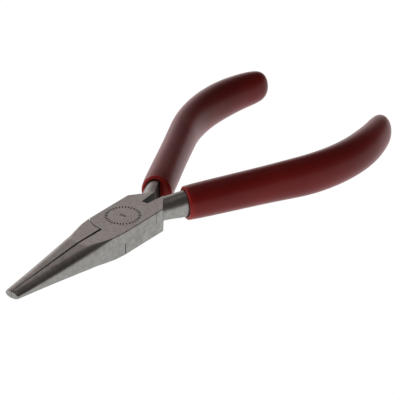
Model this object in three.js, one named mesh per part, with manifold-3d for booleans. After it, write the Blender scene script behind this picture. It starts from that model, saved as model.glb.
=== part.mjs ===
// Flat nose pliers with a lap joint and dipped grips: two identical steel halves on one rivet.
// Millimetres. X runs along the tool with the nose towards -X, and +Z is up.
// The origin is on the pivot axis, at the underside of the joint.
import * as THREE from "three";
import { mergeVertices } from "three/addons/utils/BufferGeometryUtils.js";
import Module from "manifold-3d";

// Head, as seen from above
const TIP_X = -42.8;
const TIP_HALF_WIDTH = 2.25;
const TIP_CORNER = 0.6; // radius of the tip's corners
const SHOULDER_X = -6.6; // where the straight taper of the nose meets the joint
const HALF_WIDTH = 6.1;
const REAR_OUTER_X = 8.7; // rear corners of the joint, at its sides
const REAR_INNER_X = 14.4; // rear corners of the joint, beside the notch

// Head, as seen from the side
const HALF_THICKNESS = 3.3;
const TIP_HALF_THICKNESS = 1.05;
const FLAT_END_X = -17.6; // ahead of here the nose gets thinner
const SQUARE_END_X = -9.4; // behind here the section is square
const FLAT_END_ROUNDING = 0.42; // share of the half section that the rounded corners take
const TIP_ROUNDING = 0.9;
const EDGE_BREAK = 0.25;

// Lap joint
const LAP_RADIUS = 8.65;
const GAP = 0.3; // between the halves, at every face where they meet
const NOTCH_START_HALF_WIDTH = 0.95;
const NOTCH_END_HALF_WIDTH = 1.55;
const RIVET_RADIUS = 2.4;
const RIVET_CLEARANCE = 0.1;

// Handle: a straight run out of the joint, then an arc that turns back towards the other handle
const HANDLE_START = new THREE.Vector2(7.5, -0.95);
const HANDLE_ANGLE = THREE.MathUtils.degToRad(27);
const STRAIGHT_LENGTH = 45.5;
const BEND_RADIUS = 43.5;
const BEND_ANGLE = THREE.MathUtils.degToRad(52);
const HANDLE_LENGTH = STRAIGHT_LENGTH + BEND_RADIUS * BEND_ANGLE;

// Half width and half height of the grip and of the steel inside it, at distances along the handle
const GRIP_START = 13;
const HOLLOW_START = 7; // ahead of the grip's mouth, so that the hollow runs out through it
const CORE_END = HANDLE_LENGTH - 7; // the rest of the handle is solid vinyl
const GRIP_SECTIONS = [
  { at: GRIP_START, width: 3.65, height: 4.3 },
  { at: GRIP_START + 0.4, width: 4.05, height: 4.65 },
  { at: GRIP_START + 1.4, width: 4.25, height: 4.8 },
  { at: 36, width: 4.0, height: 5.35 },
  { at: 52, width: 4.05, height: 5.85 },
  { at: 68, width: 4.35, height: 5.6 },
  { at: 79, width: 3.8, height: 5.05 },
  { at: HANDLE_LENGTH - 1.4, width: 2.8, height: 4.4 },
  { at: HANDLE_LENGTH, width: 1.4, height: 3.2 },
];
const CORE_SECTIONS = [
  { at: 0, width: 3.1, height: 3.15 },
  { at: HOLLOW_START, width: 3.1, height: 3.2 },
  { at: GRIP_START, width: 3.0, height: 3.75 },
  { at: 30, width: 2.9, height: 4.1 },
  { at: 70, width: 2.9, height: 4.1 },
  { at: CORE_END, width: 1.8, height: 3.2 },
];

// Mesh fineness
const HEAD_SECTION_SIDES = 32;
const HANDLE_SECTION_SIDES = 20;
const HANDLE_STEPS = 26;
const LAP_SIDES = 72;
const RIVET_SIDES = 32;
const BEYOND = 60; // long enough to reach past the head on every side

const wasm = await Module();
wasm.setup();

// Joining and cutting solids

function toSolid(geometry) {
  const plain = geometry.clone();
  plain.deleteAttribute("normal");
  plain.deleteAttribute("uv");
  const merged = mergeVertices(plain, 1e-4);
  return new wasm.Manifold(
    new wasm.Mesh({
      numProp: 3,
      vertProperties: merged.attributes.position.array,
      triVerts: new Uint32Array(merged.index.array),
    }),
  );
}

function toGeometry(solid) {
  const mesh = solid.getMesh();
  const geometry = new THREE.BufferGeometry();
  geometry.setAttribute("position", new THREE.BufferAttribute(mesh.vertProperties, 3));
  geometry.setIndex(new THREE.BufferAttribute(mesh.triVerts, 1));
  geometry.computeVertexNormals();
  return geometry;
}

// A sheet of material of the given outline in the XY plane, from height low to height high.
function plate(points, low, high) {
  const shape = new THREE.Shape(points.map(([x, y]) => new THREE.Vector2(x, y)));
  const geometry = new THREE.ExtrudeGeometry(shape, { depth: high - low, bevelEnabled: false });
  return toSolid(geometry.translate(0, 0, low));
}

function roundPost(radius, low, high, sides) {
  const geometry = new THREE.CylinderGeometry(radius, radius, high - low, sides);
  return geometry.rotateX(Math.PI / 2).translate(0, 0, (low + high) / 2);
}

// A closed bar through a list of stations. pointAt(station, angle) gives its skin and
// pointAt(station, null) the middle of its end faces.
function barThrough(stations, sides, pointAt) {
  const geometry = new THREE.CylinderGeometry(1, 1, 1, sides, stations.length - 1);
  const position = geometry.attributes.position;
  const vertex = new THREE.Vector3();
  for (let i = 0; i < position.count; i++) {
    vertex.fromBufferAttribute(position, i);
    const station = stations[Math.round((vertex.y + 0.5) * (stations.length - 1))];
    const onSkin = Math.hypot(vertex.x, vertex.z) > 0.5;
    const angle = onSkin ? Math.atan2(vertex.x, vertex.z) : null;
    position.setXYZ(i, ...pointAt(station, angle).toArray());
  }
  return toSolid(geometry);
}

// Sections

function mix(from, to, share) {
  return from + (to - from) * share;
}

// Half width and half height of the head at x, with the half axes of its rounded corners.
function headSection(x) {
  const taper = THREE.MathUtils.clamp((x - TIP_X) / (SHOULDER_X - TIP_X), 0, 1);
  const rise = THREE.MathUtils.clamp((x - TIP_X) / (FLAT_END_X - TIP_X), 0, 1);
  const sideWidth = mix(TIP_HALF_WIDTH, HALF_WIDTH, taper);
  const halfHeight = mix(TIP_HALF_THICKNESS, HALF_THICKNESS, rise);
  const blend = 1 - THREE.MathUtils.smoothstep(x, FLAT_END_X, SQUARE_END_X);
  const rounding = blend * mix(TIP_ROUNDING, FLAT_END_ROUNDING, rise);
  const intoCorner = Math.max(0, TIP_CORNER - (x - TIP_X));
  const halfWidth = sideWidth - TIP_CORNER + Math.sqrt(TIP_CORNER ** 2 - intoCorner ** 2);
  return {
    halfWidth,
    halfHeight,
    cornerWidth: Math.max(EDGE_BREAK, rounding * halfWidth),
    cornerHeight: Math.max(EDGE_BREAK, rounding * halfHeight),
  };
}

// The point of a rounded rectangle at an angle: a short straight, a quarter of an ellipse, a straight.
function headPoint(x, angle) {
  if (angle === null) return new THREE.Vector3(x, 0, 0);
  const { halfWidth, halfHeight, cornerWidth, cornerHeight } = headSection(x);
  const stepsPerQuarter = HEAD_SECTION_SIDES / 4;
  const folded = Math.acos(Math.abs(Math.cos(angle)));
  const step = Math.round((folded / (Math.PI / 2)) * stepsPerQuarter);
  const turn = THREE.MathUtils.clamp((step - 1) / (stepsPerQuarter - 2), 0, 1) * (Math.PI / 2);
  let y = halfWidth - cornerWidth * (1 - Math.cos(turn));
  let z = halfHeight - cornerHeight * (1 - Math.sin(turn));
  if (step === 0) z = 0;
  if (step === stepsPerQuarter) y = 0;
  return new THREE.Vector3(x, y * Math.sign(Math.cos(angle)), z * Math.sign(Math.sin(angle)));
}

// The middle line of the handle and its direction, at a distance along it.
function handleAt(distance) {
  const straight = Math.min(distance, STRAIGHT_LENGTH);
  const turned = (distance - straight) / BEND_RADIUS;
  const heading = HANDLE_ANGLE - turned;
  const along = new THREE.Vector2(Math.cos(HANDLE_ANGLE), Math.sin(HANDLE_ANGLE));
  const point = along.multiplyScalar(straight).add(HANDLE_START);
  point.x += BEND_RADIUS * (Math.sin(HANDLE_ANGLE) - Math.sin(heading));
  point.y += BEND_RADIUS * (Math.cos(heading) - Math.cos(HANDLE_ANGLE));
  return { point, heading };
}

// An oval bar along the handle, through sections of half width and half height. Its last taper runs on
// where the bar is a little longer than the list of sections.
function ovalBar(sections, from, to, grow) {
  const stations = [];
  for (let i = 0; i <= HANDLE_STEPS; i++) stations.push(mix(from, to, i / HANDLE_STEPS));
  const inside = sections.map((section) => section.at).filter((at) => at > from && at < to);
  const ordered = [...new Set([...stations, ...inside])].sort((a, b) => a - b);
  return barThrough(ordered, HANDLE_SECTION_SIDES, (distance, angle) => {
    const { point, heading } = handleAt(distance);
    const reached = sections.findIndex((section) => section.at >= distance);
    const next = reached < 0 ? sections.length - 1 : Math.max(1, reached);
    const [a, b] = [sections[next - 1], sections[next]];
    const share = (distance - a.at) / (b.at - a.at);
    const across = angle === null ? 0 : (mix(a.width, b.width, share) + grow) * Math.cos(angle);
    const up = angle === null ? 0 : (mix(a.height, b.height, share) + grow) * Math.sin(angle);
    return new THREE.Vector3(
      point.x - across * Math.sin(heading),
      point.y + across * Math.cos(heading),
      up,
    );
  });
}

// Sub-parts, each about the joint's middle plane

// The whole closed head, before it is divided between the halves.
function wholeHead() {
  const stations = [];
  const cornerSteps = 3;
  for (let i = 0; i < cornerSteps; i++) stations.push(TIP_X + TIP_CORNER * (i / cornerSteps) ** 2);
  const noseSteps = 8;
  for (let i = 0; i < noseSteps; i++) stations.push(mix(TIP_X + TIP_CORNER, FLAT_END_X, i / noseSteps));
  const blendSteps = 8;
  for (let i = 0; i <= blendSteps; i++) stations.push(mix(FLAT_END_X, SQUARE_END_X, i / blendSteps));
  stations.push(SHOULDER_X, REAR_INNER_X);
  const blank = barThrough(stations, HEAD_SECTION_SIDES, headPoint);
  const outline = [
    [-BEYOND, -HALF_WIDTH - 1],
    [REAR_OUTER_X, -HALF_WIDTH - 1],
    [REAR_OUTER_X, -HALF_WIDTH],
    [REAR_INNER_X, -NOTCH_END_HALF_WIDTH],
    [REAR_INNER_X, NOTCH_END_HALF_WIDTH],
    [REAR_OUTER_X, HALF_WIDTH],
    [REAR_OUTER_X, HALF_WIDTH + 1],
    [-BEYOND, HALF_WIDTH + 1],
  ];
  return blank.intersect(plate(outline, -BEYOND, BEYOND));
}

// One half: its jaw on the -Y side, the upper plate of the lap, and its handle core on the +Y side.
function steelHalf() {
  const jawSide = plate(
    [
      [-BEYOND, -BEYOND],
      [0, -BEYOND],
      [0, -GAP / 2],
      [-BEYOND, -GAP / 2],
    ],
    -BEYOND,
    BEYOND,
  );
  const handleSide = plate(
    [
      [0, NOTCH_START_HALF_WIDTH],
      [LAP_RADIUS, NOTCH_START_HALF_WIDTH],
      [REAR_INNER_X, NOTCH_END_HALF_WIDTH],
      [REAR_INNER_X + BEYOND, NOTCH_END_HALF_WIDTH + BEYOND * Math.tan(HANDLE_ANGLE)],
      [REAR_INNER_X + BEYOND, 2 * BEYOND],
      [0, 2 * BEYOND],
    ],
    -BEYOND,
    BEYOND,
  );
  const lap = toSolid(roundPost(LAP_RADIUS, GAP / 2, BEYOND, LAP_SIDES));
  const room = toSolid(roundPost(LAP_RADIUS + GAP, -BEYOND, GAP / 2, LAP_SIDES));
  const bore = toSolid(roundPost(RIVET_RADIUS + RIVET_CLEARANCE, -BEYOND, BEYOND, RIVET_SIDES));
  const core = ovalBar(CORE_SECTIONS, 0, CORE_END, 0);
  const head = wholeHead().intersect(jawSide.add(handleSide).add(lap));
  return head.add(core.intersect(handleSide)).subtract(room).subtract(bore);
}

// A dipped sleeve, closed at the end of the handle and open where the steel leaves it.
function grip() {
  const skin = ovalBar(GRIP_SECTIONS, GRIP_START, HANDLE_LENGTH, 0);
  const hollow = ovalBar(CORE_SECTIONS, HOLLOW_START, CORE_END + GAP, GAP);
  return skin.subtract(hollow);
}

// Materials

const groundSteel = { color: 0x8c8380, roughness: 0.35, metalness: 1.0 };
const redVinyl = { color: 0x7a1216, roughness: 0.2, metalness: 0.0 };

function part(name, geometry, finish) {
  const mesh = new THREE.Mesh(geometry, new THREE.MeshStandardMaterial(finish));
  mesh.name = name;
  return mesh;
}

// Assembly: the lower half is the upper half turned over about the tool's long axis

const pliers = new THREE.Group();
pliers.position.z = HALF_THICKNESS;

const upper = new THREE.Group();
upper.add(part("upper_half", toGeometry(steelHalf()), groundSteel));
upper.add(part("upper_half_grip", toGeometry(grip()), redVinyl));
pliers.add(upper);

const lower = new THREE.Group();
lower.rotation.x = Math.PI;
lower.add(part("lower_half", toGeometry(steelHalf()), groundSteel));
lower.add(part("lower_half_grip", toGeometry(grip()), redVinyl));
pliers.add(lower);

const rivet = roundPost(RIVET_RADIUS, -HALF_THICKNESS, HALF_THICKNESS, RIVET_SIDES);
pliers.add(part("pivot_rivet", rivet, groundSteel));

export default pliers;
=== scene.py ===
"""Looks of the flat nose pliers: ground steel halves on a lap joint, with dipped red vinyl grips.

Shapes are worked out in millimetres about the middle plane of the joint and made into meshes in metres.
"""

import math

import bmesh
import bpy
from mathutils import Matrix, Quaternion, Vector


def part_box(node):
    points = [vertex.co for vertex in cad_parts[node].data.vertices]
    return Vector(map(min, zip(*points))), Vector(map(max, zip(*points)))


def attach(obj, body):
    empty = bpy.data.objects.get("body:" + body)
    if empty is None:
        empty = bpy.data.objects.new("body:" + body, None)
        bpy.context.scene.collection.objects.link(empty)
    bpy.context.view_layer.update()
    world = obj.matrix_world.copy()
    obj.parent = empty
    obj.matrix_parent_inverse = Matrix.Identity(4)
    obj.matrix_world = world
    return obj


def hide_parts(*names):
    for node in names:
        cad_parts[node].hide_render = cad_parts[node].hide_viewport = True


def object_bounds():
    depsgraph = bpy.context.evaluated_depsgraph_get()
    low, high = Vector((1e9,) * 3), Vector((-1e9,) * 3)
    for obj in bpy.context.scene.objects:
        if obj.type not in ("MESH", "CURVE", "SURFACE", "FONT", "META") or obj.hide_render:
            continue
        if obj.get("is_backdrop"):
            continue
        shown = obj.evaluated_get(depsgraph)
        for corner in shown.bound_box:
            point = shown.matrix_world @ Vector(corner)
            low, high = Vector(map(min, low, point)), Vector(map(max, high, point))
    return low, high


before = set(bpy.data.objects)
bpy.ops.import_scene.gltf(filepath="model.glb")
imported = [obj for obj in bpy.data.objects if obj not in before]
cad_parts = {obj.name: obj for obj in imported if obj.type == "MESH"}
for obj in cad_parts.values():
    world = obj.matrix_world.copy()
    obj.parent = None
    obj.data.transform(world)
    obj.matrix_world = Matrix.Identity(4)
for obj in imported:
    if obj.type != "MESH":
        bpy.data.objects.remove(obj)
cad_low, cad_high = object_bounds()

MM = 0.001


def node_box_mm(node):
    low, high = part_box(node)
    return Vector(low) / MM, Vector(high) / MM


half_low, _ = node_box_mm("upper_half")
rivet_low, rivet_high = node_box_mm("pivot_rivet")

# Head, in plan and in section
MIDDLE_Z = (rivet_low.z + rivet_high.z) / 2
HALF_THICKNESS = (rivet_high.z - rivet_low.z) / 2
TIP_X = half_low.x
TIP_HALF_WIDTH = 2.25
TIP_CORNER = 0.6
TIP_HALF_THICKNESS = 1.05
SHOULDER_X = -6.6
HALF_WIDTH = -half_low.y
REAR_OUTER_X = 8.7
REAR_INNER_X = 14.4
FLAT_END_X = -17.6  # ahead of here the nose gets thinner
EDGE_BREAK = 0.22
TIP_CORNER_HEIGHT_SHARE = 0.5  # how far the tip's corner also rounds over in height
HEAD_CORNER_STEPS = 20
TIP_STEPS = 6
NOSE_STEPS = 30
RUNOUT_STEPS = 45  # where the round nose runs out into the square joint
# (x, corner width as a share of half width, corner height as a share of half height, corner exponent)
NOSE_CORNERS = (
    (TIP_X, 0.9, 1.0, 2.1),
    (FLAT_END_X, 0.52, 1.0, 2.9),
    (-16.3, 0.45, 1.0, 2.8),
    (-15.3, 0.33, 0.97, 2.6),
    (-13.4, 0.18, 0.84, 2.4),
    (-11.3, 0.08, 0.46, 2.2),
    (-10.1, 0.04, 0.18, 2.0),
    (-8.6, 0.0, 0.0, 2.0),
)

# Lap joint
LAP_RADIUS = 8.65
LAP_CLEARANCE = 0.13
LAP_ROOM_SHIFT = -0.10  # the room sits a little towards the nose, so only its front seam shows
PLATE_GAP = 0.02
JAW_GAP_AT_TIP = 0.05
JAW_GAP_AT_STEP = 0.24
JAW_CHAMFER = 0.13
NOTCH_START_HALF_WIDTH = 0.95
NOTCH_END_HALF_WIDTH = 1.55
RIVET_RADIUS = (rivet_high.x - rivet_low.x) / 2
RIVET_GAP = 0.015
LAP_SIDES = 180
RIVET_SIDES = 96

# Stamped ring of plain ticks round the pivot, and a row of three at its centre
RING_RADIUS = 4.4
RING_TICKS = 34
TICK_LENGTH = 0.85
TICK_WIDTH = 0.38
TICK_DEPTH = 0.09
TICK_FLARE = 0.3  # share of its width by which a tick is wider at its mouth and narrower at its bottom
RING_REACH = RING_RADIUS + TICK_LENGTH
CENTRE_TICK_LENGTH = 0.9
CENTRE_TICK_PITCH = 0.72

# Handle: a straight run, then an arc
HANDLE_START = Vector((7.5, -0.95))
HANDLE_ANGLE = math.radians(27)
STRAIGHT_LENGTH = 45.5
BEND_RADIUS = 43.5
BEND_ANGLE = math.radians(52)
HANDLE_LENGTH = STRAIGHT_LENGTH + BEND_RADIUS * BEND_ANGLE
CORE_END = HANDLE_LENGTH - 7
CORE_NECK_END = 24  # the core is meshed more finely up to here, where some of it shows
CORE_NECK_STEPS = 40
CORE_REST_STEPS = 30
GRIP_START = 13.0

# (distance along the handle, half width, half height)
GRIP_SECTIONS = (
    (GRIP_START, 4.1, 4.7),
    (GRIP_START + 3, 4.25, 4.85),
    (36, 4.0, 5.35),
    (52, 4.05, 5.85),
    (68, 4.35, 5.6),
    (79, 3.8, 5.05),
    (HANDLE_LENGTH, 2.85, 4.35),
)
CORE_SECTIONS = (
    (0, 3.1, 3.15),
    (7, 3.1, 3.2),
    (GRIP_START, 3.0, 3.75),
    (30, 2.9, 4.1),
    (70, 2.9, 4.1),
    (CORE_END, 1.8, 3.2),
)
# How far the core's flat inner side is from its middle line, along the handle's straight run
CORE_FLAT_SIDE = (
    (NOTCH_END_HALF_WIDTH - HANDLE_START.y) * math.cos(HANDLE_ANGLE)
    - (REAR_INNER_X - HANDLE_START.x) * math.sin(HANDLE_ANGLE)
)
LIP_RADIUS = 0.5
LIP_HIGHLIGHT_FADE = 1.2  # how far behind the lip the painted highlight fades out
GRIP_END_ROUNDING = 3.6
GRIP_END_EXPONENT = 2.45
GRIP_INNER_GAP = 0.03
HANDLE_SIDES = 96
CORE_SIDES = 72
END_STEPS = 14
LIP_STEPS = 12
SKIN_STEPS = 84
BORE_STEPS = 50

BEYOND = 60  # past the head on every side
SHARP_DEGREES = 28
GRIP_SHARP_DEGREES = 50

# Camera
CAMERA_AZIMUTH = math.radians(-50.1)
CAMERA_ELEVATION = math.radians(29.7)
CAMERA_ROLL = math.radians(1.13)
CAMERA_DISTANCE = 704
CAMERA_TARGET = Vector((15.3, -13.3, 5.65 + MIDDLE_Z))
CAMERA_LENS = 244
FLOOR_HALF_SIZE = 4.0  # metres
FLOOR_GLOW = 1.02


# Small helpers


def mix(a, b, share):
    return a + (b - a) * share


def clamp01(value):
    return max(0.0, min(1.0, value))


def smoothstep(value, low, high):
    share = clamp01((value - low) / (high - low))
    return share * share * (3 - 2 * share)


def spread(start, end, steps):
    return [mix(start, end, i / steps) for i in range(steps + 1)]


def smooth_section(sections, at):
    """Half width and half height at a distance, by a cubic that follows the table without overshoot."""
    last = len(sections) - 1
    i = next((n for n in range(last) if at <= sections[n + 1][0]), last - 1)

    def slope(n, column):
        if n in (0, last):
            return 0.0
        before = (sections[n][column] - sections[n - 1][column]) / (sections[n][0] - sections[n - 1][0])
        after = (sections[n + 1][column] - sections[n][column]) / (sections[n + 1][0] - sections[n][0])
        return 0.0 if before * after <= 0 else 2 * before * after / (before + after)

    span = sections[i + 1][0] - sections[i][0]
    t = clamp01((at - sections[i][0]) / span)
    values = []
    for column in (1, 2):
        a, b = sections[i][column], sections[i + 1][column]
        m_a, m_b = slope(i, column) * span, slope(i + 1, column) * span
        h_b = t * t * (3 - 2 * t)
        values.append(a + (b - a) * h_b + m_a * t * (1 - t) ** 2 - m_b * t * t * (1 - t))
    return values


def new_object(name, mesh):
    made = bpy.data.objects.new(name, mesh)
    bpy.context.scene.collection.objects.link(made)
    return made


def loft(name, rings):
    """A closed solid through rings of points in millimetres, with a flat cap at each end."""
    count = len(rings[0])
    vertices = [Vector((p[0], p[1], p[2] + MIDDLE_Z)) * MM for ring in rings for p in ring]
    faces = []
    for i in range(len(rings) - 1):
        for j in range(count):
            k = (j + 1) % count
            faces.append((i * count + j, i * count + k, (i + 1) * count + k, (i + 1) * count + j))
    faces.append(tuple(range(count - 1, -1, -1)))
    faces.append(tuple(range((len(rings) - 1) * count, len(rings) * count)))
    mesh = bpy.data.meshes.new(name)
    mesh.from_pydata(vertices, [], faces)
    build = bmesh.new()
    build.from_mesh(mesh)
    bmesh.ops.recalc_face_normals(build, faces=build.faces)
    build.to_mesh(mesh)
    build.free()
    return new_object(name, mesh)


def prism(name, outline, low, high):
    return loft(name, [[(x, y, z) for x, y in outline] for z in (low, high)])


def post(name, radius, low, high, sides=LAP_SIDES, centre=(0, 0)):
    turns = [2 * math.pi * i / sides for i in range(sides)]
    circle = [(centre[0] + radius * math.cos(t), centre[1] + radius * math.sin(t)) for t in turns]
    return prism(name, circle, low, high)


def boolean(target, tool, operation):
    """Joins, cuts or intersects the target with a tool, and throws the tool away."""
    modifier = target.modifiers.new("cut", "BOOLEAN")
    modifier.operation = operation
    modifier.solver = "MANIFOLD"
    modifier.object = tool
    bpy.context.view_layer.update()
    evaluated = target.evaluated_get(bpy.context.evaluated_depsgraph_get())
    result = bpy.data.meshes.new_from_object(evaluated)
    target.modifiers.clear()
    target.data = result
    bpy.data.objects.remove(tool)
    return target


def finish_surface(piece, sharp_degrees):
    """Smooth shading that keeps corners sharp and flat faces flat."""
    mesh = piece.data
    mesh.polygons.foreach_set("use_smooth", [True] * len(mesh.polygons))
    mesh.set_sharp_from_angle(angle=math.radians(sharp_degrees))
    weighted = piece.modifiers.new("weighted_normals", "WEIGHTED_NORMAL")
    weighted.keep_sharp = True
    weighted.weight = 80


# Head and steel halves


def nose_corner(x):
    """Corner width share, height share and exponent at x, straight between the table's rows."""
    for start, end in zip(NOSE_CORNERS, NOSE_CORNERS[1:]):
        if x <= end[0]:
            share = clamp01((x - start[0]) / (end[0] - start[0]))
            return [mix(a, b, share) for a, b in zip(start[1:], end[1:])]
    return NOSE_CORNERS[-1][1:]


def half_height_at(x):
    rise = clamp01((x - TIP_X) / (FLAT_END_X - TIP_X))
    return mix(TIP_HALF_THICKNESS, HALF_THICKNESS, rise)


def head_ring(x):
    """A rounded rectangle across the head at x."""
    taper = clamp01((x - TIP_X) / (SHOULDER_X - TIP_X))
    width_share, height_share, exponent = nose_corner(x)
    into_corner = max(0.0, TIP_CORNER - (x - TIP_X))
    inset = TIP_CORNER - math.sqrt(max(0.0, TIP_CORNER**2 - into_corner**2))
    half_width = mix(TIP_HALF_WIDTH, HALF_WIDTH, taper) - inset
    half_height = half_height_at(x) - inset * TIP_CORNER_HEIGHT_SHARE
    corner_width = max(EDGE_BREAK, width_share * half_width)
    corner_height = max(EDGE_BREAK, height_share * half_height)
    power = 2 / exponent
    ring = []
    for quarter in range(4):
        side_y = 1 if quarter in (0, 3) else -1
        side_z = 1 if quarter in (0, 1) else -1
        turns = spread(0, math.pi / 2, HEAD_CORNER_STEPS)
        if quarter in (1, 3):
            turns.reverse()
        for turn in turns:
            y = half_width - corner_width * (1 - abs(math.cos(turn)) ** power)
            z = half_height - corner_height * (1 - abs(math.sin(turn)) ** power)
            ring.append((x, side_y * y, side_z * z))
    return ring


def whole_head():
    stations = [TIP_X + TIP_CORNER * share**2 for share in spread(0, 1, TIP_STEPS)]
    stations += spread(TIP_X + TIP_CORNER, FLAT_END_X, NOSE_STEPS)[1:]
    stations += spread(FLAT_END_X, NOSE_CORNERS[-1][0], RUNOUT_STEPS)[1:]
    stations += [SHOULDER_X, REAR_INNER_X + 1]
    head = loft("head", [head_ring(x) for x in stations])
    outline = [
        (-BEYOND, -HALF_WIDTH - 1),
        (REAR_OUTER_X, -HALF_WIDTH - 1),
        (REAR_OUTER_X, -HALF_WIDTH),
        (REAR_INNER_X, -NOTCH_END_HALF_WIDTH),
        (REAR_INNER_X, NOTCH_END_HALF_WIDTH),
        (REAR_OUTER_X, HALF_WIDTH),
        (REAR_OUTER_X, HALF_WIDTH + 1),
        (-BEYOND, HALF_WIDTH + 1),
    ]
    return boolean(head, prism("outline", outline, -BEYOND, BEYOND), "INTERSECT")


def handle_at(distance):
    """The middle line of the handle and its heading, at a distance along it."""
    straight = min(distance, STRAIGHT_LENGTH)
    heading = HANDLE_ANGLE - (distance - straight) / BEND_RADIUS
    cos_start, sin_start = math.cos(HANDLE_ANGLE), math.sin(HANDLE_ANGLE)
    x = HANDLE_START.x + straight * cos_start + BEND_RADIUS * (sin_start - math.sin(heading))
    y = HANDLE_START.y + straight * sin_start + BEND_RADIUS * (math.cos(heading) - cos_start)
    return x, y, heading


def handle_ring(distance, half_width, half_height, sides):
    x, y, heading = handle_at(distance)
    ring = []
    for i in range(sides):
        angle = 2 * math.pi * i / sides
        across = half_width * math.cos(angle)
        up = half_height * math.sin(angle)
        ring.append((x - across * math.sin(heading), y + across * math.cos(heading), up))
    return ring


def handle_core():
    stations = spread(0, CORE_NECK_END, CORE_NECK_STEPS)
    stations += spread(CORE_NECK_END, CORE_END, CORE_REST_STEPS)[1:]
    return loft("core", [handle_ring(at, *smooth_section(CORE_SECTIONS, at), CORE_SIDES) for at in stations])


def jaw_edge_bar(side):
    """A thin square bar, set on edge, that breaks the inner edges of the jaws above or below."""
    rings = []
    for x in (TIP_X - 1, FLAT_END_X, -LAP_RADIUS):
        share = clamp01((x - TIP_X) / (-LAP_RADIUS - TIP_X))
        reach = JAW_CHAMFER + mix(JAW_GAP_AT_TIP, JAW_GAP_AT_STEP, share)
        z = side * half_height_at(x)
        rings.append([(x, reach, z), (x, 0, z + reach), (x, -reach, z), (x, 0, z - reach)])
    return loft("bar", rings)


def stamp_tool(places):
    """One mesh of small blunt wedges, each at (x, y, turn, length), sunk into the top face."""
    build = bmesh.new()
    top = HALF_THICKNESS + MIDDLE_Z
    for x, y, turn, length in places:
        corners = []
        for side_z, flare in ((-1, 1 - TICK_FLARE), (1, 1 + TICK_FLARE)):
            for side_x, side_y in ((-1, -1), (1, -1), (1, 1), (-1, 1)):
                along = side_x * (length + (flare - 1) * TICK_WIDTH) / 2
                across = side_y * flare * TICK_WIDTH / 2
                corners.append(build.verts.new(Vector((
                    x + along * math.cos(turn) - across * math.sin(turn),
                    y + along * math.sin(turn) + across * math.cos(turn),
                    top + side_z * TICK_DEPTH,
                )) * MM))
        low, high = corners[:4], corners[4:]
        build.faces.new(list(reversed(low)))
        build.faces.new(high)
        for i in range(4):
            k = (i + 1) % 4
            build.faces.new((low[i], low[k], high[k], high[i]))
    mesh = bpy.data.meshes.new("stamp")
    build.to_mesh(mesh)
    build.free()
    return new_object("stamp", mesh)


def ring_places():
    turns = [2 * math.pi * i / RING_TICKS for i in range(RING_TICKS)]
    return [(RING_RADIUS * math.cos(t), RING_RADIUS * math.sin(t), t, TICK_LENGTH) for t in turns]


def centre_places():
    return [(0, i * CENTRE_TICK_PITCH, 0, CENTRE_TICK_LENGTH) for i in (-1, 0, 1)]


def jaw_side():
    outline = [
        (-BEYOND, -BEYOND),
        (0, -BEYOND),
        (0, -JAW_GAP_AT_STEP),
        (-LAP_RADIUS, -JAW_GAP_AT_STEP),
        (TIP_X, -JAW_GAP_AT_TIP),
        (-BEYOND, -JAW_GAP_AT_TIP),
    ]
    return prism("jaw_side", outline, -BEYOND, BEYOND)


def handle_side():
    outline = [
        (0, NOTCH_START_HALF_WIDTH),
        (LAP_RADIUS, NOTCH_START_HALF_WIDTH),
        (REAR_INNER_X, NOTCH_END_HALF_WIDTH),
        (REAR_INNER_X + BEYOND, NOTCH_END_HALF_WIDTH + BEYOND * math.tan(HANDLE_ANGLE)),
        (REAR_INNER_X + BEYOND, 2 * BEYOND),
        (0, 2 * BEYOND),
    ]
    return prism("handle_side", outline, -BEYOND, BEYOND)


def lap_room():
    """The space below the upper plate that the lower half's plate turns in."""
    return post("room", LAP_RADIUS + LAP_CLEARANCE, -BEYOND, PLATE_GAP / 2, centre=(LAP_ROOM_SHIFT, 0))


def steel_half(name):
    """Its jaw on the -Y side, the upper plate of the lap, and its handle core on the +Y side."""
    keep = boolean(jaw_side(), handle_side(), "UNION")
    keep = boolean(keep, post("lap", LAP_RADIUS, PLATE_GAP / 2, BEYOND), "UNION")
    half = boolean(whole_head(), keep, "INTERSECT")
    half = boolean(half, boolean(handle_core(), handle_side(), "INTERSECT"), "UNION")
    half = boolean(half, lap_room(), "DIFFERENCE")
    half = boolean(half, post("bore", RIVET_RADIUS + RIVET_GAP, -BEYOND, BEYOND, RIVET_SIDES), "DIFFERENCE")
    for side in (1, -1):
        half = boolean(half, jaw_edge_bar(side), "DIFFERENCE")
    half.name = name
    return half


def turn_over(piece):
    """The lower half is the same forging turned over about the long axis."""
    centre = Vector((0, 0, MIDDLE_Z * MM))
    turn = Matrix.Translation(centre) @ Matrix.Rotation(math.pi, 4, "X") @ Matrix.Translation(-centre)
    piece.data.transform(turn)


def mark_stamped_faces(piece, slot_index):
    """Gives the sunk faces of the ticks their own material."""
    top = HALF_THICKNESS + MIDDLE_Z
    on_the_face = 0.001
    for polygon in piece.data.polygons:
        centre = polygon.center / MM
        depth = top - centre.z
        if on_the_face < depth < 1.5 * TICK_DEPTH and centre.xy.length < RING_REACH:
            polygon.material_index = slot_index


def notch_wall(x):
    """Distance of the notch's wall, and of the core's inner side behind it, from the tool's middle line."""
    share = clamp01((x - LAP_RADIUS) / (REAR_INNER_X - LAP_RADIUS))
    behind = max(0, x - REAR_INNER_X) * math.tan(HANDLE_ANGLE)
    return mix(NOTCH_START_HALF_WIDTH, NOTCH_END_HALF_WIDTH, share) + behind


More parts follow.
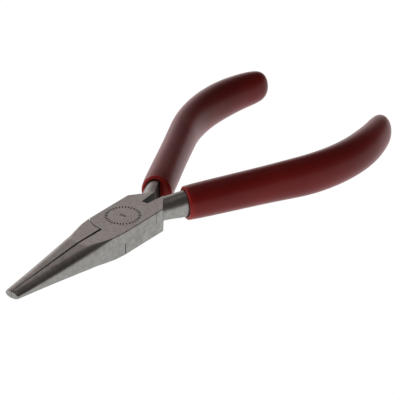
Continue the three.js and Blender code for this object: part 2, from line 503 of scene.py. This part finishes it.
def mark_painted_shade_faces(piece, slot_index, side):
    """Gives faces that lie in shade a dark material of painted shade: the lap's round walls, the notch, the
    core's flat inner side.

    side is 1 where the piece's handle is on the +Y side, and -1 where it is on the -Y side.
    """
    near = 0.3
    for polygon in piece.data.polygons:
        centre, normal = polygon.center / MM, polygon.normal
        radial = abs(centre.xy.normalized().dot(normal.xy)) > 0.9
        in_lap = radial and LAP_RADIUS - 0.1 < centre.xy.length < LAP_RADIUS + near
        faces_in = side * normal.y < -0.6
        on_wall = abs(side * centre.y - notch_wall(centre.x)) < near
        in_notch = faces_in and on_wall and centre.x > 0.9 * LAP_RADIUS
        if in_lap or in_notch:
            polygon.material_index = slot_index


# Grips


def bore_ring(distance):
    """The steel core's outline with its flat inner side, a little larger all round."""
    half_width, half_height = smooth_section(CORE_SECTIONS, distance)
    x, y, heading = handle_at(distance)
    ring = []
    for i in range(HANDLE_SIDES):
        angle = 2 * math.pi * i / HANDLE_SIDES
        across = max(CORE_FLAT_SIDE - GRIP_INNER_GAP, (half_width + GRIP_INNER_GAP) * math.cos(angle))
        up = (half_height + GRIP_INNER_GAP) * math.sin(angle)
        ring.append((x - across * math.sin(heading), y + across * math.cos(heading), up))
    return ring


def lip_ring(outer, inner, heading, turn):
    """Part of the way round the lip, from the skin at turn 0 to the bore at turn pi."""
    inward = (1 - math.cos(turn)) / 2
    forward = LIP_RADIUS * math.sin(turn)
    return [
        (
            mix(a[0], b[0], inward) - forward * math.cos(heading),
            mix(a[1], b[1], inward) - forward * math.sin(heading),
            mix(a[2], b[2], inward),
        )
        for a, b in zip(outer, inner)
    ]


def grip_sleeve(name):
    """A dipped sleeve: rounded end, skin, rolled lip, and the bore that holds the steel core."""
    rounding_start = HANDLE_LENGTH - GRIP_END_ROUNDING
    skin_start = GRIP_START + LIP_RADIUS
    lip_highlight_share = 0.6  # of the painted highlight's lighter red, where the skin meets the lip
    rings = []
    lip_highlight = []
    for i in range(1, END_STEPS + 1):
        along = math.cos(math.pi / 2 * i / END_STEPS)
        scale = (1 - along**GRIP_END_EXPONENT) ** (1 / GRIP_END_EXPONENT)
        at = rounding_start + GRIP_END_ROUNDING * along
        width, height = smooth_section(GRIP_SECTIONS, at)
        rings.append(handle_ring(at, width * scale, height * scale, HANDLE_SIDES))
        lip_highlight.append(0.0)
    for at in spread(rounding_start, skin_start, SKIN_STEPS)[1:]:
        rings.append(handle_ring(at, *smooth_section(GRIP_SECTIONS, at), HANDLE_SIDES))
        lip_highlight.append(lip_highlight_share * (1 - smoothstep(at, skin_start, skin_start + LIP_HIGHLIGHT_FADE)))
    outer, inner = rings[-1], bore_ring(skin_start)
    for i in range(1, LIP_STEPS):
        turn = math.pi * i / LIP_STEPS
        rings.append(lip_ring(outer, inner, HANDLE_ANGLE, turn))
        lip_highlight.append(lip_highlight_share + (1 - lip_highlight_share) * math.sin(turn))
    for at in spread(skin_start, CORE_END, BORE_STEPS):
        rings.append(bore_ring(at))
        lip_highlight.append(0.0)
    sleeve = loft(name, rings)
    # The lip attribute carries the painted highlight, a lighter red along the rolled lip.
    attribute = sleeve.data.attributes.new("lip", "FLOAT", "POINT")
    attribute.data.foreach_set("value", [value for value in lip_highlight for _ in range(HANDLE_SIDES)])
    finish_surface(sleeve, GRIP_SHARP_DEGREES)
    return sleeve


# Materials


def shader(name):
    material = bpy.data.materials.new(name)
    material.use_nodes = True
    nodes = material.node_tree.nodes
    return material, nodes, material.node_tree.links, nodes["Principled BSDF"]


def noise(nodes, links, source, scale, detail, stretch=(1, 1, 1), turn=(0, 0, 0)):
    mapping = nodes.new("ShaderNodeMapping")
    mapping.inputs["Scale"].default_value = stretch
    mapping.inputs["Rotation"].default_value = turn
    texture = nodes.new("ShaderNodeTexNoise")
    texture.inputs["Scale"].default_value = scale
    texture.inputs["Detail"].default_value = detail
    links.new(source, mapping.inputs["Vector"])
    links.new(mapping.outputs["Vector"], texture.inputs["Vector"])
    return texture.outputs["Fac"]


def ramp(nodes, links, source, stops):
    made = nodes.new("ShaderNodeValToRGB")
    elements = made.color_ramp.elements
    while len(elements) < len(stops):
        elements.new(0.5)
    for element, (position, colour) in zip(elements, stops):
        element.position = position
        element.color = (*colour, 1)
    links.new(source, made.inputs["Fac"])
    return made.outputs["Color"]


def maths(nodes, links, operation, *values):
    made = nodes.new("ShaderNodeMath")
    made.operation = operation
    for socket, value in zip(made.inputs, values):
        if isinstance(value, (int, float)):
            socket.default_value = value
        else:
            links.new(value, socket)
    return made.outputs[0]


def mix_colours(nodes, links, share, a, b, blend="MIX"):
    made = nodes.new("ShaderNodeMix")
    made.data_type = "RGBA"
    made.blend_type = blend
    for socket, value in ((made.inputs[0], share), (made.inputs[6], a), (made.inputs[7], b)):
        if isinstance(value, (int, float)):
            socket.default_value = value
        elif isinstance(value, tuple):
            socket.default_value = (*value, 1)
        else:
            links.new(value, socket)
    return made.outputs[2]


def ground_steel():
    """Fine ground steel: short scratches on the flats, upright linishing marks on the sides, and painted
    shade that darkens the colour in seams and hollows.
    """
    material, nodes, links, surface = shader("ground_steel")
    place = nodes.new("ShaderNodeTexCoord").outputs["Object"]
    mottle = noise(nodes, links, place, 900, 4)
    cloud = noise(nodes, links, place, 160, 3)
    scratch = (500, 6000, 2500)
    lines_a = noise(nodes, links, place, 1, 3, stretch=scratch, turn=(0, 0, math.radians(25)))
    lines_b = noise(nodes, links, place, 1, 3, stretch=scratch, turn=(0, 0, math.radians(-38)))
    upright = noise(nodes, links, place, 1, 3, stretch=(5000, 5000, 350))
    base = ramp(nodes, links, mottle, [(0.3, (0.27, 0.262, 0.252)), (0.7, (0.36, 0.352, 0.338))])
    tint = ramp(nodes, links, cloud, [(0.35, (0.88, 0.87, 0.86)), (0.65, (1.0, 1.0, 1.0))])
    base = mix_colours(nodes, links, 1.0, base, tint, "MULTIPLY")
    # Painted shade: the base colour is darkened where ambient occlusion finds nearby surfaces, in the seams
    # between the parts and in hollows.
    hollow = nodes.new("ShaderNodeAmbientOcclusion")
    hollow.samples = 8
    hollow.inputs["Distance"].default_value = 0.7 * MM
    painted_shade = ramp(nodes, links, hollow.outputs["AO"], [(0.15, (0.25, 0.24, 0.23)), (0.6, (1, 1, 1))])
    base = mix_colours(nodes, links, 1.0, base, painted_shade, "MULTIPLY")
    links.new(base, surface.inputs["Base Color"])
    surface.inputs["Metallic"].default_value = 1.0
    surface.inputs["Specular Tint"].default_value = (0.7, 0.7, 0.7, 1)
    rough = maths(nodes, links, "MULTIPLY_ADD", cloud, 0.18, 0.22)
    links.new(rough, surface.inputs["Roughness"])
    height = maths(nodes, links, "ADD", lines_a, lines_b)
    height = maths(nodes, links, "ADD", height, upright)
    height = maths(nodes, links, "ADD", height, mottle)
    rounded = nodes.new("ShaderNodeBevel")
    rounded.samples = 6
    rounded.inputs["Radius"].default_value = 0.12 * MM
    bump = nodes.new("ShaderNodeBump")
    bump.inputs["Strength"].default_value = 0.10
    bump.inputs["Distance"].default_value = 0.05 * MM
    links.new(height, bump.inputs["Height"])
    links.new(rounded.outputs["Normal"], bump.inputs["Normal"])
    links.new(bump.outputs["Normal"], surface.inputs["Normal"])
    return material


def painted_shade_steel():
    """Painted shade: a dark, nearly black steel put on faces that lie in shade, in place of their shading.
    """
    material, nodes, links, surface = shader("painted_shade_steel")
    place = nodes.new("ShaderNodeTexCoord").outputs["Object"]
    grain = noise(nodes, links, place, 1800, 5)
    base = ramp(nodes, links, grain, [(0.3, (0.018, 0.02, 0.018)), (0.7, (0.055, 0.058, 0.05))])
    links.new(base, surface.inputs["Base Color"])
    surface.inputs["Metallic"].default_value = 0.5
    rough = maths(nodes, links, "MULTIPLY_ADD", grain, 0.3, 0.35)
    links.new(rough, surface.inputs["Roughness"])
    bump = nodes.new("ShaderNodeBump")
    bump.inputs["Strength"].default_value = 0.3
    bump.inputs["Distance"].default_value = 0.05 * MM
    links.new(grain, bump.inputs["Height"])
    links.new(bump.outputs["Normal"], surface.inputs["Normal"])
    return material


def stamped_dark():
    """The oxidised insides of the stamped ticks."""
    material, nodes, links, surface = shader("stamped_dark")
    place = nodes.new("ShaderNodeTexCoord").outputs["Object"]
    grain = noise(nodes, links, place, 4000, 3)
    base = ramp(nodes, links, grain, [(0.3, (0.05, 0.042, 0.04)), (0.7, (0.12, 0.10, 0.095))])
    links.new(base, surface.inputs["Base Color"])
    surface.inputs["Metallic"].default_value = 0.6
    surface.inputs["Roughness"].default_value = 0.6
    return material


def red_vinyl():
    """Dipped vinyl with a soft gloss, and a painted highlight: a lighter red base colour along the lip."""
    material, nodes, links, surface = shader("red_vinyl")
    place = nodes.new("ShaderNodeTexCoord").outputs["Object"]
    cloud = noise(nodes, links, place, 70, 2)
    fine = noise(nodes, links, place, 1500, 3)
    lip = nodes.new("ShaderNodeAttribute")
    lip.attribute_name = "lip"
    base = ramp(nodes, links, cloud, [(0.3, (0.13, 0.005, 0.004)), (0.7, (0.185, 0.0085, 0.0065))])
    # Painted highlight: the lip attribute mixes in a lighter red along the lip.
    base = mix_colours(nodes, links, lip.outputs["Fac"], base, (0.33, 0.014, 0.010))
    links.new(base, surface.inputs["Base Color"])
    rough = maths(nodes, links, "MULTIPLY_ADD", fine, 0.10, 0.28)
    links.new(rough, surface.inputs["Roughness"])
    surface.inputs["IOR"].default_value = 1.28
    surface.inputs["Sheen Weight"].default_value = 0.45
    surface.inputs["Sheen Tint"].default_value = (1.0, 0.62, 0.66, 1)
    surface.inputs["Sheen Roughness"].default_value = 0.35
    waves = nodes.new("ShaderNodeBump")
    waves.inputs["Strength"].default_value = 0.25
    waves.inputs["Distance"].default_value = 0.25 * MM
    links.new(cloud, waves.inputs["Height"])
    pores = nodes.new("ShaderNodeBump")
    pores.inputs["Strength"].default_value = 0.04
    pores.inputs["Distance"].default_value = 0.03 * MM
    links.new(fine, pores.inputs["Height"])
    links.new(waves.outputs["Normal"], pores.inputs["Normal"])
    links.new(pores.outputs["Normal"], surface.inputs["Normal"])
    return material


def dress(piece, *materials):
    piece.data.materials.clear()
    for material in materials:
        piece.data.materials.append(material)
    piece.data.polygons.foreach_set("material_index", [0] * len(piece.data.polygons))


# Pieces

steel = ground_steel()
stamped = stamped_dark()
# scale holds the painted shade material for the faces in the lap, the notch and the core's flat inner side.
scale = painted_shade_steel()
vinyl = red_vinyl()

upper_half = boolean(steel_half("upper_half_steel"), stamp_tool(ring_places()), "DIFFERENCE")
dress(upper_half, steel, stamped, scale)
mark_stamped_faces(upper_half, 1)
mark_painted_shade_faces(upper_half, 2, side=1)
finish_surface(upper_half, SHARP_DEGREES)

lower_half = steel_half("lower_half_steel")
turn_over(lower_half)
dress(lower_half, steel, scale)
mark_painted_shade_faces(lower_half, 1, side=-1)
finish_surface(lower_half, SHARP_DEGREES)

rivet = post("pivot_rivet_steel", RIVET_RADIUS, -HALF_THICKNESS, HALF_THICKNESS, RIVET_SIDES)
rivet = boolean(rivet, stamp_tool(centre_places()), "DIFFERENCE")
dress(rivet, steel, stamped)
mark_stamped_faces(rivet, 1)
finish_surface(rivet, SHARP_DEGREES)

upper_grip = grip_sleeve("upper_half_vinyl")
upper_grip.data.materials.append(vinyl)
lower_grip = grip_sleeve("lower_half_vinyl")
turn_over(lower_grip)
lower_grip.data.materials.append(vinyl)

for piece, body, node, slot in (
    (upper_half, "upper", "upper_half", "steel"),
    (lower_half, "lower", "lower_half", "steel"),
    (rivet, "lower", "pivot_rivet", "rivet_steel"),
    (upper_grip, "upper", "upper_half_grip", "red_vinyl"),
    (lower_grip, "lower", "lower_half_grip", "red_vinyl"),
):
    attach(piece, body)
    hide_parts(node)


# Stage, light and camera


def floor():
    """A plain white floor that glows, so that it takes no shadow."""
    z = min(cad_low[2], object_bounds()[0][2])
    mesh = bpy.data.meshes.new("floor")
    size = FLOOR_HALF_SIZE
    corners = [(-size, -size, z), (size, -size, z), (size, size, z), (-size, size, z)]
    mesh.from_pydata(corners, [], [(0, 1, 2, 3)])
    made = new_object("floor", mesh)
    material = bpy.data.materials.new("floor_white")
    material.use_nodes = True
    nodes = material.node_tree.nodes
    nodes.clear()
    glow = nodes.new("ShaderNodeEmission")
    glow.inputs["Strength"].default_value = FLOOR_GLOW
    output = nodes.new("ShaderNodeOutputMaterial")
    material.node_tree.links.new(glow.outputs[0], output.inputs[0])
    mesh.materials.append(material)
    made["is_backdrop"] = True


def studio():
    """A bright wall on the +Y side that fades upwards, a dim ceiling, and a dim room on the -Y side."""
    world = bpy.data.worlds.new("studio")
    bpy.context.scene.world = world
    world.use_nodes = True
    nodes, links = world.node_tree.nodes, world.node_tree.links
    background = nodes["Background"]
    direction = nodes.new("ShaderNodeTexCoord").outputs["Generated"]
    parts = nodes.new("ShaderNodeSeparateXYZ")
    links.new(direction, parts.inputs[0])
    wall = ramp(nodes, links, parts.outputs["Z"], [
        (0.0, (1.8, 1.72, 1.7)),
        (0.20, (1.65, 1.55, 1.53)),
        (0.34, (1.2, 1.10, 1.08)),
        (0.50, (0.80, 0.70, 0.69)),
        (0.68, (0.42, 0.36, 0.35)),
        (0.88, (0.12, 0.11, 0.11)),
        (1.0, (0.36, 0.34, 0.33)),
    ])
    room = ramp(nodes, links, parts.outputs["Z"], [
        (0.0, (0.30, 0.26, 0.24)),
        (0.30, (0.10, 0.085, 0.08)),
        (0.88, (0.12, 0.11, 0.11)),
        (1.0, (0.36, 0.34, 0.33)),
    ])
    # The wall's share of the light grows from none at the wall's edge to all of it 0.35 towards +Y
    toward = nodes.new("ShaderNodeVectorMath")
    toward.operation = "DOT_PRODUCT"
    toward.inputs[1].default_value = (-0.05, 1.0, 0.0)
    links.new(direction, toward.inputs[0])
    side = ramp(nodes, links, toward.outputs["Value"], [(0.0, (0, 0, 0)), (0.35, (1, 1, 1))])
    colour = mix_colours(nodes, links, side, room, wall)
    links.new(colour, background.inputs["Color"])


def camera():
    back = Vector((
        math.sin(CAMERA_AZIMUTH) * math.cos(CAMERA_ELEVATION),
        -math.cos(CAMERA_AZIMUTH) * math.cos(CAMERA_ELEVATION),
        math.sin(CAMERA_ELEVATION),
    ))
    data = bpy.data.cameras.new("camera")
    data.sensor_width = 36
    data.lens = CAMERA_LENS
    data.clip_start = 0.01
    data.clip_end = 20
    made = bpy.data.objects.new("camera", data)
    bpy.context.scene.collection.objects.link(made)
    made.rotation_mode = "QUATERNION"
    made.rotation_quaternion = (-back).to_track_quat("-Z", "Y") @ Quaternion((0, 0, 1), -CAMERA_ROLL)
    made.location = CAMERA_TARGET * MM + back * (CAMERA_DISTANCE * MM)
    bpy.context.scene.camera = made


floor()
studio()
camera()
bpy.context.scene.view_settings.view_transform = "Standard"
